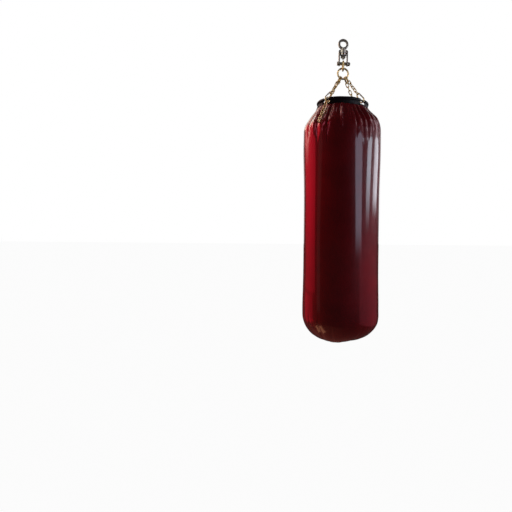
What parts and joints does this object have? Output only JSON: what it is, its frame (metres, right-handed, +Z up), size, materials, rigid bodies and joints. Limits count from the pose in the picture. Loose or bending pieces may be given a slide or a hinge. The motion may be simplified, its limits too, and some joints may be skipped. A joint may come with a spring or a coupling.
{
  "type": "hanging punch bag",
  "caption": "Heavy cylindrical punch bag with gathered neck and foot, a dark rim collar over a steel hoop, chain legs with snap hooks and a ball-bearing hanging swivel.",
  "frame": {"origin": "centre of the hanging eye's bore, where the ceiling fixing holds the bag", "axes": "+Z up along the bag, +Y along the hanging eye's bore, +X along the swivel yoke's cross bolt; the front is -Y"},
  "size_m": [0.35, 0.3498, 1.3951],
  "materials": {
    "swivel_steel": "satin",
    "bearing_steel": "polished",
    "fastener": "satin",
    "chain": "gloss",
    "hook": "gloss",
    "hoop_steel": "satin",
    "rim": "satin",
    "vinyl": "gloss",
    "lining": "matte",
    "canvas": "matte",
    "filling": "matte",
    "zip_metal": "satin"
  },
  "bodies": {
    "eye": {"top_eye": "swivel_steel", "lock_nut": "fastener", "split_pin": "fastener", "lower_race": "bearing_steel"},
    "cage": {"ball_cage": "zip_metal", "bearing_balls": "bearing_steel"},
    "yoke": {"swivel_yoke": "swivel_steel", "upper_race": "bearing_steel", "cross_bolt": "fastener", "bolt_nut": "fastener", "bolt_spacers": "fastener"},
    "swing_link": {"swing_link": "chain"},
    "bag": {"master_ring": "chain", "end_links": "chain", "chain_leg_1": "chain", "chain_leg_2": "chain", "chain_leg_3": "chain", "chain_leg_4": "chain", "snap_hook_1": "hook", "snap_hook_2": "hook", "snap_hook_3": "hook", "snap_hook_4": "hook", "gate_pins": "fastener", "top_hoop": "hoop_steel", "rim_collar": "rim", "hem_piping": "vinyl", "skin": "vinyl", "foam_lining": "lining", "inner_liner": "canvas", "filling": "filling", "foot_patch": "vinyl", "top_panel": "canvas", "panel_flange": "canvas", "zip_tape": "canvas", "zip_teeth": "zip_metal", "zip_stops": "zip_metal"},
    "tail_link": {"tail_link": "chain"},
    "tail_chain": {"tail_chain": "chain"},
    "tail_end": {"tail_end": "chain"},
    "zip_slider": {"zip_slider": "zip_metal"},
    "zip_tab": {"zip_tab": "zip_metal"},
    "gate_1": {"snap_gate_1": "hook"},
    "gate_2": {"snap_gate_2": "hook"},
    "gate_3": {"snap_gate_3": "hook"},
    "gate_4": {"snap_gate_4": "hook"}
  },
  "joints": [
    {"name": "swivel_spin", "type": "hinge", "parent": "eye", "child": "yoke", "pos_m": [0, 0, -0.0451], "axis": [0, 0, 1], "continuous": true},
    {"name": "cage_spin", "type": "hinge", "parent": "eye", "child": "cage", "pos_m": [0, 0, -0.0451], "axis": [0, 0, 1], "continuous": true},
    {"name": "fore_aft_swing", "type": "hinge", "parent": "yoke", "child": "swing_link", "pos_m": [0, 0, -0.08739], "axis": [1, 0, 0], "range_deg": [-35, 35]},
    {"name": "side_swing", "type": "hinge", "parent": "swing_link", "child": "bag", "pos_m": [0, 0, -0.11633], "axis": [0, 1, 0], "range_deg": [-35, 35]},
    {"name": "gate_1_press", "type": "hinge", "parent": "bag", "child": "gate_1", "pos_m": [0.06783, 0.06592, -0.24173], "axis": [-0.7242, 0.6891, 0.0276], "range_deg": [0, 25], "stiffness_Nm_per_rad": 0.06, "springref_deg": -10},
    {"name": "gate_2_press", "type": "hinge", "parent": "bag", "child": "gate_2", "pos_m": [-0.06943, 0.06605, -0.24113], "axis": [-0.7352, -0.676, -0.0503], "range_deg": [0, 25], "stiffness_Nm_per_rad": 0.06, "springref_deg": -10},
    {"name": "gate_3_press", "type": "hinge", "parent": "bag", "child": "gate_3", "pos_m": [-0.06783, -0.06592, -0.24173], "axis": [0.7242, -0.6891, 0.0276], "range_deg": [0, 25], "stiffness_Nm_per_rad": 0.06, "springref_deg": -10},
    {"name": "gate_4_press", "type": "hinge", "parent": "bag", "child": "gate_4", "pos_m": [0.06943, -0.06605, -0.24113], "axis": [0.7352, 0.676, -0.0503], "range_deg": [0, 25], "stiffness_Nm_per_rad": 0.06, "springref_deg": -10},
    {"name": "tail_lift", "type": "hinge", "parent": "bag", "child": "tail_link", "pos_m": [-0.07291, -0.08633, -0.2741], "axis": [-0.764, 0.6452, 0], "range_deg": [0, 50]},
    {"name": "tail_chain_lift", "type": "hinge", "parent": "tail_link", "child": "tail_chain", "pos_m": [-0.08128, -0.09624, -0.28403], "axis": [-0.764, 0.6452, 0], "range_deg": [0, 50]},
    {"name": "tail_end_lift", "type": "hinge", "parent": "tail_chain", "child": "tail_end", "pos_m": [-0.1011, -0.1197, -0.34057], "axis": [-0.764, 0.6452, 0], "range_deg": [0, 50]},
    {"name": "zip_slide", "type": "slide", "parent": "bag", "child": "zip_slider", "axis": [1, 0, 0], "range_m": [0, 0.1086]},
    {"name": "zip_tab_flip", "type": "hinge", "parent": "zip_slider", "child": "zip_tab", "pos_m": [-0.0598, 0, -0.2956], "axis": [0, 1, 0], "range_deg": [0, 140]}
  ],
  "couplings": [
    {"joint": "cage_spin", "follows": "swivel_spin", "ratio": 0.5}
  ]
}
